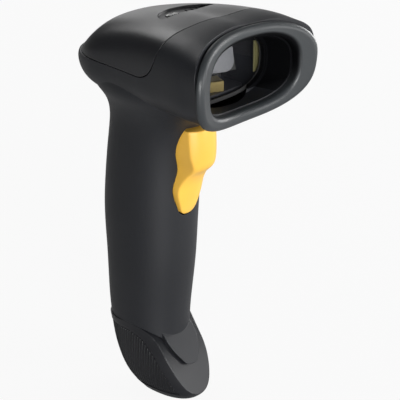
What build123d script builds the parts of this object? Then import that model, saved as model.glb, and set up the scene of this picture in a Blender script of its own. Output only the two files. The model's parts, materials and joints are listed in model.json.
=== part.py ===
from build123d import *
from math import cos, pi, sin, sqrt
import os

# Handheld laser barcode scanner, pistol grip. Millimetres, +Z up along the grip,
# the scan window looks along -Y, and X = 0 is the plane of symmetry.
# The origin is the centre of the cable collar, on the flat sole of the boot.

os.makedirs("parts", exist_ok=True)

# ---- driving dimensions -------------------------------------------------
WALL = 2.2               # moulded wall
SEAM_GAP = 0.3           # parting line between the mouldings
SEAM_Z = 140.6           # parting line of the top cover
POWER = 2.6              # roundness of the head sections
HOOD_POWER = 4.0         # squarer across the top of the hood

HEAD_MID_Y = 6.0         # widest full section behind the hood
HEAD_MID_HALF = 24.0
HEAD_REAR = 27.5         # length of the rounded tail
HEAD_BOTTOM = 124.0
HOOD_FRONT_Y = -50.0
HOOD_FRONT_HALF = 32.4
HEAD_FLARE = 0.05        # hood wider at the top
CROWN_Y, CROWN_Z, CROWN_DROP = -26.0, 159.4, 3.6 / 32.0 ** 2
TAIL_TOP_POWER = 2.0     # the cover falls faster than it narrows
TAIL_ROUND_POWER = 1.5   # and is rounder in section towards its end
TAIL_BOTTOM_POWER = 0.9
TAIL_SAG = 3.0           # the widest level drops towards the tail
COVER_FRONT = (-21.5, -31.5)    # y of the rising seam at the parting line and above the crown
COVER_STEP = 0.9         # ledge of the housing round the back of the cover

RIM_HALF, RIM_HEIGHT, RIM_Z = 32.3, 17.4, 140.7    # bumper outline
RIM_FLARE = 0.05
RIM_RADIUS = 70.7        # concave front in plan
RIM_CENTRE_Y = -43.2
RIM_DEPTH = 3.2          # bumper thickness, with a groove at its back
RIM_GROOVE = 0.8
RIM_ROUND = 2.0          # soft front edges of the bumper
RIM_AXIS_Y = RIM_CENTRE_Y - RIM_RADIUS
MOUTH_HALF, MOUTH_HEIGHT, MOUTH_POWER = 23.9, 12.7, 2.75
FLANGE_Y = -33.4         # front of the wall that carries the window
FLANGE = 2.0
WINDOW_HALF, WINDOW_HEIGHT, WINDOW_THICK = 22.8, 12.0, 1.5
CLIP_OUTER, CLIP_Z, CLIP_HEIGHT = 24.6, 134.4, 11.8

# grip sections, from inside the boot up into the head: height, half width, front y, back y
GRIP = (
    (16.0, 13.2, -10.2, 18.8),
    (31.0, 14.6, -9.8, 22.4),
    (57.0, 15.9, -12.6, 23.3),
    (78.0, 16.6, -13.9, 23.8),
    (98.0, 16.8, -15.6, 21.8),
    (110.0, 16.9, -18.2, 20.0),
    (117.0, 17.4, -22.0, 19.3),
    (122.0, 19.2, -29.0, 20.3),
    (128.0, 21.8, -36.5, 24.0),
    (134.0, 23.2, -40.0, 27.4),
)
GRIP_POWER = 2.2
GRIP_END_Z = 17.0        # lower end of the grip tube, inside the boot

# boot sections: height, half width, front y, back y
BOOT = (
    (0.0, 8.6, -18.5, 8.4),
    (3.0, 11.0, -21.4, 11.6),
    (9.0, 13.4, -21.6, 15.8),
    (17.0, 14.4, -19.6, 19.2),
    (25.0, 14.3, -14.5, 21.1),
    (33.0, 14.3, -10.0, 22.2),
)
BOOT_POWER = 2.4
BOOT_FLARE = 0.10        # wider at the heel than at the toe
BOOT_WALL = 2.6
FIT = 0.25               # slip fit of the grip's spigot in the boot
SPIGOT_STEP, SPIGOT_TOP = 1.9, 35.0
BOOT_SCREW_Y, BOOT_SCREW_Z = 19.3, 21.6
# side line of the boot's upper edge and toe face, y and z, from the back to the toe
BOOT_EDGE = ((60.0, 30.2), (12.0, 30.4), (3.0, 30.6), (-4.0, 28.2), (-9.8, 22.6), (-15.2, 14.4),
             (-20.6, 4.0), (-24.0, -3.0))
TONGUE_HALF, TONGUE_TIP_Z, TONGUE_THICK = 8.0, 14.6, 1.3
COLLAR_R, COLLAR_DEPTH = 6.4, 6.0
JACK_WIDE, JACK_DEEP = 9.8, 7.0          # port of the jack, in line with the collar
JACK_WALL, JACK_CORNER = 1.3, 2.2
FLANK_START, FLANK_DEPTH = 6.0, 0.35     # sunk panel on each side of the boot
FLANK_MARGIN = 2.6       # border between the panel and the boot's upper edge

TRIGGER_GAP = 0.6
TRIGGER_TOP, TRIGGER_FOOT = 116.2, 79.4
# round sections that crown the pad: height, half width, front y, back y
TRIGGER_FRONT = (
    (78.0, 9.8, -13.6, -4.0),
    (82.0, 9.8, -15.2, -4.0),
    (88.0, 9.8, -16.8, -4.0),
    (93.0, 9.8, -18.2, -4.0),
    (97.0, 9.8, -20.6, -4.0),
    (100.5, 9.8, -24.2, -4.0),
    (104.0, 9.8, -25.3, -4.0),
    (110.0, 9.8, -25.5, -4.0),
    (118.0, 9.8, -24.8, -4.0),
)
# half widths of the trigger seen from the front, by height
TRIGGER_OUTLINE = ((7.4, 112.0), (6.9, 105.0), (5.5, 98.6), (6.7, 91.0), (4.6, 83.2))
PIN_Y, PIN_Z, PIN_R = -8.6, 84.0, 1.0
PIN_CLEARANCE = 0.05
BARREL_R, BARREL_HALF = 2.5, 5.2
SWITCH_Z, PLUNGER_Y = 100.0, -5.2
SPRING_Z, SPRING_R, SPRING_WIRE = 109.5, 2.2, 0.35
SPRING_FRONT_Y, SPRING_BACK_Y = -13.0, -1.0
SPRING_LENGTH = SPRING_BACK_Y - SPRING_FRONT_Y - 2 * SPRING_WIRE - 0.06

BOARD_Y, BOARD_THICK = 3.0, 1.2
CARRIER_Y = 1.0

CHASSIS_Z = 129.0        # underside of the scan engine
MIRROR_X, MIRROR_Y = 12.6, -16.5    # axis of the oscillating mirror
MIRROR_TURN, MIRROR_TILT = -26.0, 12.0
ENGINE_TURN = -26.0      # the laser block stands parallel to the mirror
ENGINE_BOSS_X, ENGINE_BOSS_Y = 18.6, -7.0

SCREW_R, SCREW_HEAD_R, SCREW_HEAD = 1.1, 2.0, 1.3


# ---- shared shapes ------------------------------------------------------
def oval(plane, half_x, half_y, power=2.0, flare=0.0, cy=0.0, upper=None, top_power=None,
         count=24):
    """Closed superellipse face; `upper` and `top_power` shape the +y half on its own."""
    points = []
    for i in range(count):
        t = 2 * pi * i / count
        top = cos(t) > 1e-9
        bend = 2 / (top_power if (top_power and top) else power)
        u = abs(sin(t)) ** bend * (1 if sin(t) >= 0 else -1)
        v = abs(cos(t)) ** bend * (1 if cos(t) >= 0 else -1)
        height = upper if (upper is not None and top) else half_y
        points.append((half_x * u * (1 + flare * v), cy + height * v))
    with BuildSketch(plane) as face:
        with BuildLine():
            Spline(points, periodic=True)
        make_face()
    return face.sketch


def smooth(rows, z):
    """Row of values at height z on the smooth curve through the given rows."""
    i = max(k for k in range(len(rows) - 1) if rows[k][0] <= z or k == 0)

    def slope(k, column):
        low, high = rows[max(k - 1, 0)], rows[min(k + 1, len(rows) - 1)]
        return (high[column] - low[column]) / (high[0] - low[0])

    span = rows[i + 1][0] - rows[i][0]
    t = (z - rows[i][0]) / span
    values = []
    for column in range(1, len(rows[0])):
        p, q = rows[i][column], rows[i + 1][column]
        m, n = slope(i, column) * span, slope(i + 1, column) * span
        values.append(p * (2 * t ** 3 - 3 * t ** 2 + 1) + m * (t ** 3 - 2 * t ** 2 + t)
                      + q * (3 * t ** 2 - 2 * t ** 3) + n * (t ** 3 - t ** 2))
    return values


def head_width(y):
    return HEAD_MID_HALF + (HOOD_FRONT_HALF - HEAD_MID_HALF) * (
        (HEAD_MID_Y - y) / (HEAD_MID_Y - HOOD_FRONT_Y)) ** 1.2


def head_power(y):
    """The hood is squarer across the top than the crown behind it."""
    return POWER + (HOOD_POWER - POWER) * min(1.0, max(0.0, (HEAD_MID_Y - y) / 32.0))


def head_top(y):
    return CROWN_Z - CROWN_DROP * (y - CROWN_Y) ** 2


def head_sections(inset=0.0, step=0.0, front=HOOD_FRONT_Y):
    """Sections of the head from the hood to the tail, drawn in by `inset`."""
    faces = []
    for i in range(5):
        y = front + (HEAD_MID_Y - front) * i / 5
        faces.append(oval(Plane.XZ.offset(-y), head_width(y) - inset,
                          SEAM_Z - HEAD_BOTTOM - inset, POWER, HEAD_FLARE, SEAM_Z,
                          head_top(y) - SEAM_Z - inset, head_power(y)))
    tail_top = head_top(HEAD_MID_Y) - SEAM_Z
    tail_bottom = SEAM_Z - HEAD_BOTTOM
    for s in (0.0, 0.28, 0.52, 0.71, 0.85, 0.94, 0.985):
        c = sqrt(1 - s * s)
        draw = inset + step * s
        y = HEAD_MID_Y + (HEAD_REAR - draw) * s
        faces.append(oval(Plane.XZ.offset(-y), (HEAD_MID_HALF - draw) * c,
                          (tail_bottom - TAIL_SAG * s - draw) * c ** TAIL_BOTTOM_POWER,
                          POWER, HEAD_FLARE * (1 - s), SEAM_Z - TAIL_SAG * s,
                          (tail_top - draw) * c ** TAIL_TOP_POWER,
                          POWER + (TAIL_ROUND_POWER - POWER) * s))
    return faces


def column_sections(rows, low, high, number, inset=0.0, power=2.2, flare=0.0):
    """Level sections at even heights through the smoothed rows of the grip or the boot."""
    faces = []
    for k in range(number):
        z = low + (high - low) * k / (number - 1)
        half, front, back = smooth(rows, z)
        faces.append(oval(Plane.XY.offset(z), half - inset, (back - front) / 2 - inset,
                          power, flare, (back + front) / 2))
    return faces


def cover_outline(shift=0.0):
    """Side outline of all that belongs to the top cover: level at the back, rising to the hood."""
    with BuildSketch(Plane.YZ) as side:
        with BuildLine():
            FilletPolyline((60, SEAM_Z + shift), (COVER_FRONT[0] + shift, SEAM_Z + shift),
                           (COVER_FRONT[1] + shift, 164.0), radius=12.0)
            Polyline((COVER_FRONT[1] + shift, 164.0), (60, 164.0), (60, SEAM_Z + shift))
        make_face()
    return side.sketch


def trigger_outline(grow=0.0, top=0.0):
    """Front view of the trigger: wide pad, waist and rounded lower lobe."""
    right = [(half + grow, z) for half, z in TRIGGER_OUTLINE]
    with BuildSketch(Plane.XZ) as outline:
        with BuildLine():
            Line((0, TRIGGER_TOP + top), (right[0][0], TRIGGER_TOP + top))
            Line((right[0][0], TRIGGER_TOP + top), right[0])
            Spline(right + [(0, TRIGGER_FOOT - grow)], tangents=[(0, -1), (-1, 0)])
            mirror(about=Plane.YZ)
        make_face()
    return outline.sketch


def boot_side(shift=0.0):
    """Side outline of all that lies above and in front of the boot."""
    points = [(y - shift, z + shift) for y, z in BOOT_EDGE]
    with BuildSketch(Plane.YZ) as side:
        with BuildLine():
            Spline(points[1:-1])
            Line(points[0], points[1])
            Line(points[-2], points[-1])
            Polyline(points[-1], (-60, points[-1][1]), (-60, 60), (60, 60), points[0])
        make_face()
    return side.sketch


# ---- top cover ----------------------------------------------------------
RECESS_Y, RECESS_HALF, RECESS_BULGE = -15.4, 14.2, 9.8
COVER_SCREW_X, COVER_SCREW_Y = 6.8, 27.4
COVER_BOSS_R = 2.9
with BuildPart() as cover_cavity:
    loft(sections=head_sections(inset=WALL, front=-38.0))
    # bosses for the two screws from below stay solid
    with BuildSketch(Plane.XY.offset(120)) as bosses:
        with Locations((-COVER_SCREW_X, COVER_SCREW_Y), (COVER_SCREW_X, COVER_SCREW_Y)):
            Circle(COVER_BOSS_R)
    extrude(bosses.sketch, amount=40, mode=Mode.SUBTRACT)

with BuildPart() as top_cover:
    loft(sections=head_sections(step=COVER_STEP))
    extrude(cover_outline(SEAM_GAP / 2), amount=40, both=True, mode=Mode.INTERSECT)
    add(cover_cavity.part, mode=Mode.SUBTRACT)
    # crescent dish across the crown: straight step at the front, bulging to the back
    with BuildSketch(Plane.XY.offset(CROWN_Z - 2.2)) as dish:
        with BuildLine():
            Line((-RECESS_HALF, RECESS_Y), (RECESS_HALF, RECESS_Y))
            ThreePointArc((RECESS_HALF, RECESS_Y), (0, RECESS_Y + RECESS_BULGE),
                          (-RECESS_HALF, RECESS_Y))
        make_face()
        fillet(dish.vertices(), 0.9)
    with BuildSketch(Plane.XY.offset(CROWN_Z - 3.9)) as floor:
        add(dish.sketch.moved(Location((0, 0, -(CROWN_Z - 2.2)))))
        offset(amount=1.6)
    extrude(floor.sketch, amount=2.0)
    extrude(dish.sketch, amount=6, mode=Mode.SUBTRACT)
    # indicator opening and the row of beeper slots
    with BuildSketch(Plane.XY.offset(CROWN_Z - 6)) as openings:
        with Locations((-3.6, -10.4)):
            SlotOverall(6.2, 2.8)
        with Locations((4.0, -11.0), (6.6, -11.2), (9.2, -11.6)):
            SlotOverall(3.4, 1.0, rotation=90)
    extrude(openings.sketch, amount=6, mode=Mode.SUBTRACT)
    with BuildSketch(Plane.XY.offset(130)) as pilots:
        with Locations((-COVER_SCREW_X, COVER_SCREW_Y), (COVER_SCREW_X, COVER_SCREW_Y)):
            Circle(SCREW_R)
    extrude(pilots.sketch, amount=12.3, mode=Mode.SUBTRACT)
top_cover.part.label = "top_cover"
export_step(top_cover.part, "parts/top_cover.step")

# ---- housing: hood, lower head, neck and grip in one moulding ------------
with BuildPart() as grip_outer:
    loft(sections=column_sections(GRIP, GRIP[0][0], GRIP[-1][0], 16, 0.0, GRIP_POWER))

with BuildPart() as spigot_column:
    loft(sections=column_sections(GRIP, GRIP[0][0], 40.0, 5, SPIGOT_STEP, GRIP_POWER))

with BuildPart() as spigot_zone:
    # what the boot takes the place of, outside the spigot
    with Locations((0, 0, 0)):
        Box(80, 120, 33, align=(Align.CENTER, Align.CENTER, Align.MIN))
    extrude(boot_side(0.15), amount=41, both=True, mode=Mode.SUBTRACT)
    add(spigot_column.part, mode=Mode.SUBTRACT)

with BuildPart() as housing_cavity:
    loft(sections=head_sections(inset=WALL, front=FLANGE_Y + FLANGE))
    loft(sections=column_sections(GRIP, SPIGOT_TOP, GRIP[-1][0] - 1, 14, WALL, GRIP_POWER))
    loft(sections=column_sections(GRIP, GRIP[0][0], SPIGOT_TOP + 1, 4, WALL + SPIGOT_STEP,
                                  GRIP_POWER))
    with BuildSketch(Plane.XZ.offset(-11.2)) as screw_boss:
        with Locations((0, BOOT_SCREW_Z)):
            Circle(2.6)
    extrude(screw_boss.sketch, amount=-12, mode=Mode.SUBTRACT)
    # solid features that stand in the cavity: engine posts, cover screw posts, trigger pivot
    with BuildSketch(Plane.XY.offset(110)) as posts:
        with Locations((-ENGINE_BOSS_X, ENGINE_BOSS_Y), (ENGINE_BOSS_X, ENGINE_BOSS_Y)):
            Circle(2.9)
    extrude(posts.sketch, amount=CHASSIS_Z - 110 - 0.05, mode=Mode.SUBTRACT)
    with BuildSketch(Plane.XY.offset(110)) as rear_posts:
        with Locations((-COVER_SCREW_X, COVER_SCREW_Y), (COVER_SCREW_X, COVER_SCREW_Y)):
            Circle(COVER_BOSS_R)
    extrude(rear_posts.sketch, amount=SEAM_Z - 110 - 0.2, mode=Mode.SUBTRACT)
    for side in (-1, 1):
        with BuildSketch(Plane.YZ.offset(side * (BARREL_HALF + 0.3))) as pivot:
            with Locations((PIN_Y, PIN_Z)):
                Circle(2.6)
        extrude(pivot.sketch, amount=side * 12, mode=Mode.SUBTRACT)
        # rails for the board carrier
        with BuildSketch(Plane.XY.offset(34)) as rail:
            with Locations((side * 15, CARRIER_Y - 0.8)):
                Rectangle(6, 1.2)
        extrude(rail.sketch, amount=74, mode=Mode.SUBTRACT)

with BuildPart() as housing:
    loft(sections=head_sections())
    add(grip_outer.part)
    # concave front, set back behind the bumper
    with BuildSketch(Plane.XY.offset(100)) as front_cut:
        with Locations((0, RIM_AXIS_Y)):
            Circle(RIM_RADIUS + RIM_DEPTH)
    extrude(front_cut.sketch, amount=70, mode=Mode.SUBTRACT)
    # everything above the parting line is the cover
    extrude(cover_outline(-SEAM_GAP / 2), amount=40, both=True, mode=Mode.SUBTRACT)
    add(housing_cavity.part, mode=Mode.SUBTRACT)
    # tunnel in front of the window, and the opening in the window wall
    loft(sections=[
        oval(Plane.XZ.offset(-FLANGE_Y), MOUTH_HALF - 1.4, MOUTH_HEIGHT - 0.9, MOUTH_POWER,
             0.0, RIM_Z),
        oval(Plane.XZ.offset(-RIM_CENTRE_Y + 9), MOUTH_HALF, MOUTH_HEIGHT, MOUTH_POWER,
             0.0, RIM_Z)], mode=Mode.SUBTRACT)
    extrude(oval(Plane.XZ.offset(-FLANGE_Y - 4), WINDOW_HALF - 1.8, WINDOW_HEIGHT - 1.6,
                 MOUTH_POWER, 0.0, RIM_Z), amount=6, mode=Mode.SUBTRACT)
    # lower end of the grip: spigot for the boot
    with BuildSketch(Plane.XY.offset(GRIP_END_Z)) as end:
        Rectangle(80, 80)
    extrude(end.sketch, amount=-20, mode=Mode.SUBTRACT)
    add(spigot_zone.part, mode=Mode.SUBTRACT)
    # tongue of the grip skin that lies on the toe of the boot
    with BuildSketch(Plane.XZ.offset(2)) as tongue:
        with BuildLine():
            Line((0, 28), (TONGUE_HALF, 28))
            Spline((TONGUE_HALF, 28), (TONGUE_HALF - 0.6, 22.5), (4.6, 17.2),
                   (0, TONGUE_TIP_Z), tangents=[(0, -1), (-1, 0)])
            mirror(about=Plane.YZ)
        make_face()
    tongue_bar = extrude(tongue.sketch, amount=24, mode=Mode.PRIVATE)
    tongue_band = extrude(boot_side(0.05), amount=20, both=True, mode=Mode.PRIVATE)
    tongue_skin = extrude(boot_side(TONGUE_THICK), amount=20, both=True, mode=Mode.PRIVATE)
    add((tongue_bar & tongue_band) - tongue_skin)
    # trigger opening through the front wall
    opening = extrude(trigger_outline(TRIGGER_GAP, 1.4), amount=40, mode=Mode.PRIVATE)
    add(opening.moved(Location((0, -10.6, 0))), mode=Mode.SUBTRACT)
    with BuildSketch(Plane.XZ.offset(-8)) as boot_pilot:
        with Locations((0, BOOT_SCREW_Z)):
            Circle(SCREW_R)
    extrude(boot_pilot.sketch, amount=-16, mode=Mode.SUBTRACT)
    # holes for the pivot pin, the engine screws and the cover screws
    with BuildSketch(Plane.YZ.offset(-10.6)) as pin_hole:
        with Locations((PIN_Y, PIN_Z)):
            Circle(PIN_R)
    extrude(pin_hole.sketch, amount=21.2, mode=Mode.SUBTRACT)
    with BuildSketch(Plane.XY.offset(CHASSIS_Z)) as engine_pilots:
        with Locations((-ENGINE_BOSS_X, ENGINE_BOSS_Y), (ENGINE_BOSS_X, ENGINE_BOSS_Y)):
            Circle(SCREW_R)
    extrude(engine_pilots.sketch, amount=-4.5, mode=Mode.SUBTRACT)
    with BuildSketch(Plane.XY.offset(SEAM_Z)) as cover_holes:
        with Locations((-COVER_SCREW_X, COVER_SCREW_Y), (COVER_SCREW_X, COVER_SCREW_Y)):
            Circle(SCREW_R + 0.15)
    extrude(cover_holes.sketch, amount=-30, mode=Mode.SUBTRACT)
    with BuildSketch(Plane.XY.offset(SEAM_Z - 4.5)) as cover_bores:
        with Locations((-COVER_SCREW_X, COVER_SCREW_Y), (COVER_SCREW_X, COVER_SCREW_Y)):
            Circle(SCREW_HEAD_R + 0.25)
    extrude(cover_bores.sketch, amount=-12, mode=Mode.SUBTRACT)
housing.part.label = "housing"
export_step(housing.part, "parts/housing.step")

# ---- rubber bumper round the mouth ---------------------------------------
with BuildPart() as rim_groove:
    # shadow groove round the root of the bumper, where it meets the hood
    with BuildSketch(Plane.XY.offset(110)) as root:
        with Locations((0, RIM_AXIS_Y)):
            Circle(RIM_RADIUS + RIM_DEPTH + 1)
            Circle(RIM_RADIUS + RIM_DEPTH - RIM_GROOVE, mode=Mode.SUBTRACT)
    extrude(root.sketch, amount=60)
    extrude(oval(Plane.XZ.offset(-RIM_CENTRE_Y - 12), RIM_HALF - RIM_GROOVE,
                 RIM_HEIGHT - RIM_GROOVE, POWER, RIM_FLARE, RIM_Z), amount=30,
            mode=Mode.SUBTRACT)

with BuildPart() as bumper:
    extrude(oval(Plane.XZ.offset(-RIM_CENTRE_Y - 8), RIM_HALF, RIM_HEIGHT, POWER,
                 RIM_FLARE, RIM_Z), amount=20)
    with BuildSketch(Plane.XY.offset(110)) as band:
        with Locations((0, RIM_AXIS_Y)):
            Circle(RIM_RADIUS + RIM_DEPTH - 0.05)
            Circle(RIM_RADIUS, mode=Mode.SUBTRACT)
    extrude(band.sketch, amount=60, mode=Mode.INTERSECT)
    extrude(oval(Plane.XZ.offset(-RIM_CENTRE_Y - 10), MOUTH_HALF, MOUTH_HEIGHT,
                 MOUTH_POWER, 0.0, RIM_Z), amount=30, mode=Mode.SUBTRACT)
    front_face = bumper.faces().filter_by(GeomType.CYLINDER).sort_by(Axis.Y)[0]
    fillet(front_face.edges(), RIM_ROUND)
    add(rim_groove.part, mode=Mode.SUBTRACT)
bumper.part.label = "bumper"
export_step(bumper.part, "parts/bumper.step")

# ---- window and its seal --------------------------------------------------
WINDOW_Y = FLANGE_Y + FLANGE     # the pane lies against the back of the window wall
with BuildPart() as scan_window:
    extrude(oval(Plane.XZ.offset(-WINDOW_Y - 0.55), WINDOW_HALF - 0.3, WINDOW_HEIGHT - 0.2,
                 MOUTH_POWER, 0.0, RIM_Z), amount=-WINDOW_THICK)
scan_window.part.label = "scan_window"
export_step(scan_window.part, "parts/scan_window.step")

with BuildPart() as window_seal:
    extrude(oval(Plane.XZ.offset(-WINDOW_Y - 0.02), WINDOW_HALF - 0.3, WINDOW_HEIGHT - 0.2,
                 MOUTH_POWER, 0.0, RIM_Z), amount=-0.5)
    extrude(oval(Plane.XZ.offset(-WINDOW_Y + 1), WINDOW_HALF - 1.8, WINDOW_HEIGHT - 1.6,
                 MOUTH_POWER, 0.0, RIM_Z), amount=-4, mode=Mode.SUBTRACT)
window_seal.part.label = "window_seal"
export_step(window_seal.part, "parts/window_seal.step")

# leaf clips that hold the pane at its two ends: a foot on the window wall, a leaf on the pane
PANE_BACK = WINDOW_Y + 0.55 + WINDOW_THICK
for number, side in enumerate((-1, 1), 1):
    with BuildPart() as window_clip:
        with BuildSketch(Plane.XY.offset(CLIP_Z)) as clip:
            with BuildLine():
                Polyline((side * (CLIP_OUTER - 4.8), PANE_BACK + 0.02),
                         (side * (WINDOW_HALF - 0.05), PANE_BACK + 0.02),
                         (side * (WINDOW_HALF - 0.05), WINDOW_Y + 0.02),
                         (side * CLIP_OUTER, WINDOW_Y + 0.02),
                         (side * CLIP_OUTER, PANE_BACK + 0.5),
                         (side * (CLIP_OUTER - 4.8), PANE_BACK + 0.5), close=True)
            make_face()
        extrude(clip.sketch, amount=CLIP_HEIGHT)
    window_clip.part.label = f"window_clip_{number}"
    export_step(window_clip.part, f"parts/window_clip_{number}.step")

# ---- boot on the lower end of the grip ------------------------------------
with BuildPart() as boot_cavity:
    loft(sections=column_sections(BOOT, COLLAR_DEPTH, 33.0, 6, BOOT_WALL, BOOT_POWER,
                                  BOOT_FLARE))
    extrude(boot_side(-BOOT_WALL), amount=40, both=True, mode=Mode.SUBTRACT)

with BuildPart() as boot_pocket:
    loft(sections=column_sections(GRIP, GRIP[0][0], 40.0, 5, SPIGOT_STEP - FIT, GRIP_POWER))
    with BuildSketch(Plane.XY.offset(GRIP_END_Z - 0.2)) as end_cut:
        Rectangle(80, 80)
    extrude(end_cut.sketch, amount=-20, mode=Mode.SUBTRACT)

with BuildPart() as flank_recess:
    # shallow panel on each flank, sunk by a constant depth into the curved skin
    with BuildSketch(Plane.XY.offset(BOOT[1][0])) as panels:
        with Locations((-FLANK_START - 15, 0), (FLANK_START + 15, 0)):
            Rectangle(30, 60)
    extrude(panels.sketch, amount=30)
    extrude(boot_side(-FLANK_MARGIN), amount=50, both=True, mode=Mode.SUBTRACT)
    loft(sections=column_sections(BOOT, 0.0, BOOT[-1][0], 8, FLANK_DEPTH, BOOT_POWER,
                                  BOOT_FLARE), mode=Mode.SUBTRACT)

with BuildPart() as boot:
    loft(sections=column_sections(BOOT, 0.0, BOOT[-1][0], 8, 0.0, BOOT_POWER, BOOT_FLARE))
    extrude(boot_side(), amount=40, both=True, mode=Mode.SUBTRACT)
    add(boot_cavity.part, mode=Mode.SUBTRACT)
    add(boot_pocket.part, mode=Mode.SUBTRACT)
    # round collar opening for the cable in the sole
    with BuildSketch(Plane.XY) as collar:
        Circle(COLLAR_R)
    extrude(collar.sketch, amount=COLLAR_DEPTH + 1, mode=Mode.SUBTRACT)
    with BuildSketch(Plane.XZ.offset(-10)) as boot_hole:
        with Locations((0, BOOT_SCREW_Z)):
            Circle(SCREW_R + 0.15)
    extrude(boot_hole.sketch, amount=-20, mode=Mode.SUBTRACT)
    with BuildSketch(Plane.XZ.offset(-BOOT_SCREW_Y)) as boot_recess:
        with Locations((0, BOOT_SCREW_Z)):
            Circle(SCREW_HEAD_R + 0.25)
    extrude(boot_recess.sketch, amount=-10, mode=Mode.SUBTRACT)
    add(flank_recess.part, mode=Mode.SUBTRACT)
boot.part.label = "boot"
export_step(boot.part, "parts/boot.step")

# ---- trigger ----------------------------------------------------------------
with BuildPart() as trigger_crown:
    # round in plan, so the pad falls away to its sides
    loft(sections=column_sections(TRIGGER_FRONT, 79.0, 117.0, 20, 0.0, 2.1))

with BuildPart() as trigger:
    extrude(trigger_outline(), amount=40)
    with BuildSketch(Plane.YZ) as side:
        with BuildLine():
            Polyline((-30, TRIGGER_TOP), (-11.8, TRIGGER_TOP), (-12.3, 96.0),
                     (-12.3, TRIGGER_FOOT), (-30, TRIGGER_FOOT), close=True)
        make_face()
    extrude(side.sketch, amount=20, both=True, mode=Mode.INTERSECT)
    add(trigger_crown.part, mode=Mode.INTERSECT)
    # web and hinge barrel behind the lobe, and the finger that works the switch
    with BuildSketch(Plane.YZ) as web:
        with BuildLine():
            Polyline((-13.0, 81.0), (-8.0, 81.8), (-7.4, 86.5), (-12.0, 92.0), (-13.0, 92.0),
                     close=True)
        make_face()
    extrude(web.sketch, amount=4.0, both=True)
    with BuildSketch(Plane.YZ) as barrel:
        with Locations((PIN_Y, PIN_Z)):
            Circle(BARREL_R)
    extrude(barrel.sketch, amount=BARREL_HALF, both=True)
    with BuildSketch(Plane.YZ) as finger:
        with Locations(((-13.0 + PLUNGER_Y - 0.15) / 2, SWITCH_Z)):
            Rectangle(13.0 + PLUNGER_Y - 0.15, 2.6)
    extrude(finger.sketch, amount=1.8, both=True)
    with BuildSketch(Plane.YZ) as pin_bore:
        with Locations((PIN_Y, PIN_Z)):
            Circle(PIN_R + PIN_CLEARANCE)
    extrude(pin_bore.sketch, amount=20, both=True, mode=Mode.SUBTRACT)
    # seat for the return spring
    with BuildSketch(Plane.XZ.offset(-SPRING_FRONT_Y)) as seat:
        with Locations((0, SPRING_Z)):
            Circle(SPRING_R + SPRING_WIRE + 0.35)
    extrude(seat.sketch, amount=-6, mode=Mode.SUBTRACT)
trigger.part.label = "trigger"
export_step(trigger.part, "parts/trigger.step")

with BuildPart() as trigger_pin:
    with BuildSketch(Plane.YZ.offset(-10.4)) as rod:
        with Locations((PIN_Y, PIN_Z)):
            Circle(PIN_R)
    extrude(rod.sketch, amount=20.8)
    chamfer(trigger_pin.edges().filter_by(GeomType.CIRCLE), 0.2)
trigger_pin.part.label = "trigger_pin"
export_step(trigger_pin.part, "parts/trigger_pin.step")

with BuildPart() as trigger_spring:
    with BuildLine() as coil:
        Helix(pitch=SPRING_LENGTH / 6, height=SPRING_LENGTH, radius=SPRING_R,
              center=(0, SPRING_FRONT_Y + SPRING_WIRE + 0.03, SPRING_Z), direction=(0, 1, 0))
    with BuildSketch(Plane(origin=coil.line @ 0, z_dir=coil.line % 0)):
        Circle(SPRING_WIRE)
    sweep(path=coil.line, is_frenet=True)
trigger_spring.part.label = "trigger_spring"
export_step(trigger_spring.part, "parts/trigger_spring.step")

# ---- board carrier, main board and trigger switch in the grip ------------
with BuildPart() as board_carrier:
    with BuildSketch(Plane.XZ.offset(-CARRIER_Y)) as frame:
        with Locations((0, 74.5)):
            RectangleRounded(23, 75, 2)
        with Locations((0, 60), (0, 84)):
            RectangleRounded(15, 18, 2, mode=Mode.SUBTRACT)
        with Locations((0, 101.5)):
            Rectangle(15, 13, mode=Mode.SUBTRACT)
    extrude(frame.sketch, amount=-1.6)
    with BuildSketch(Plane.XZ.offset(-CARRIER_Y)) as seat_post:
        with Locations((0, SPRING_Z + 1.2)):
            RectangleRounded(9, 8.6, 1)
    extrude(seat_post.sketch, amount=2.0)
    with BuildSketch(Plane.XZ.offset(-CARRIER_Y + 2.0)) as peg:
        with Locations((0, SPRING_Z)):
            Circle(SPRING_R - SPRING_WIRE - 0.25)
    extrude(peg.sketch, amount=2.4)
board_carrier.part.label = "board_carrier"
export_step(board_carrier.part, "parts/board_carrier.step")

with BuildPart() as main_board:
    with BuildSketch(Plane.XZ.offset(-BOARD_Y)) as outline:
        with Locations((0, 73)):
            RectangleRounded(21, 76, 1.5)
        with Locations((-8, 38.5), (8, 38.5), (-8, 107.5), (8, 107.5)):
            Circle(1.2, mode=Mode.SUBTRACT)
    extrude(outline.sketch, amount=-BOARD_THICK)
main_board.part.label = "main_board"
export_step(main_board.part, "parts/main_board.step")

BOARD_BACK = BOARD_Y + BOARD_THICK
with BuildPart() as decoder_chip:
    with BuildSketch(Plane.XZ.offset(-BOARD_BACK - 0.02)) as chip:
        with Locations((0, 72)):
            Rectangle(12, 12)
    extrude(chip.sketch, amount=-1.4)
    with BuildSketch(Plane.XZ.offset(-BOARD_BACK - 0.02)) as leads:
        with Locations((0, 72)):
            with GridLocations(0, 1.2, 1, 9):
                Rectangle(14, 0.5)
            with GridLocations(1.2, 0, 9, 1):
                Rectangle(0.5, 14)
    extrude(leads.sketch, amount=-0.5)
    chamfer(decoder_chip.faces().sort_by(Axis.Y)[-1].edges(), 0.25)
decoder_chip.part.label = "decoder_chip"
export_step(decoder_chip.part, "parts/decoder_chip.step")

with BuildPart() as board_connector:
    with BuildSketch(Plane.XZ.offset(-BOARD_BACK - 0.02)) as block:
        with Locations((0, 100)):
            Rectangle(14, 4)
    extrude(block.sketch, amount=-2.6)
    with BuildSketch(Plane.XY.offset(102)) as slot:
        with Locations((0, BOARD_BACK + 1.5)):
            Rectangle(11.4, 0.9)
    extrude(slot.sketch, amount=-3, mode=Mode.SUBTRACT)
board_connector.part.label = "board_connector"
export_step(board_connector.part, "parts/board_connector.step")

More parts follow.
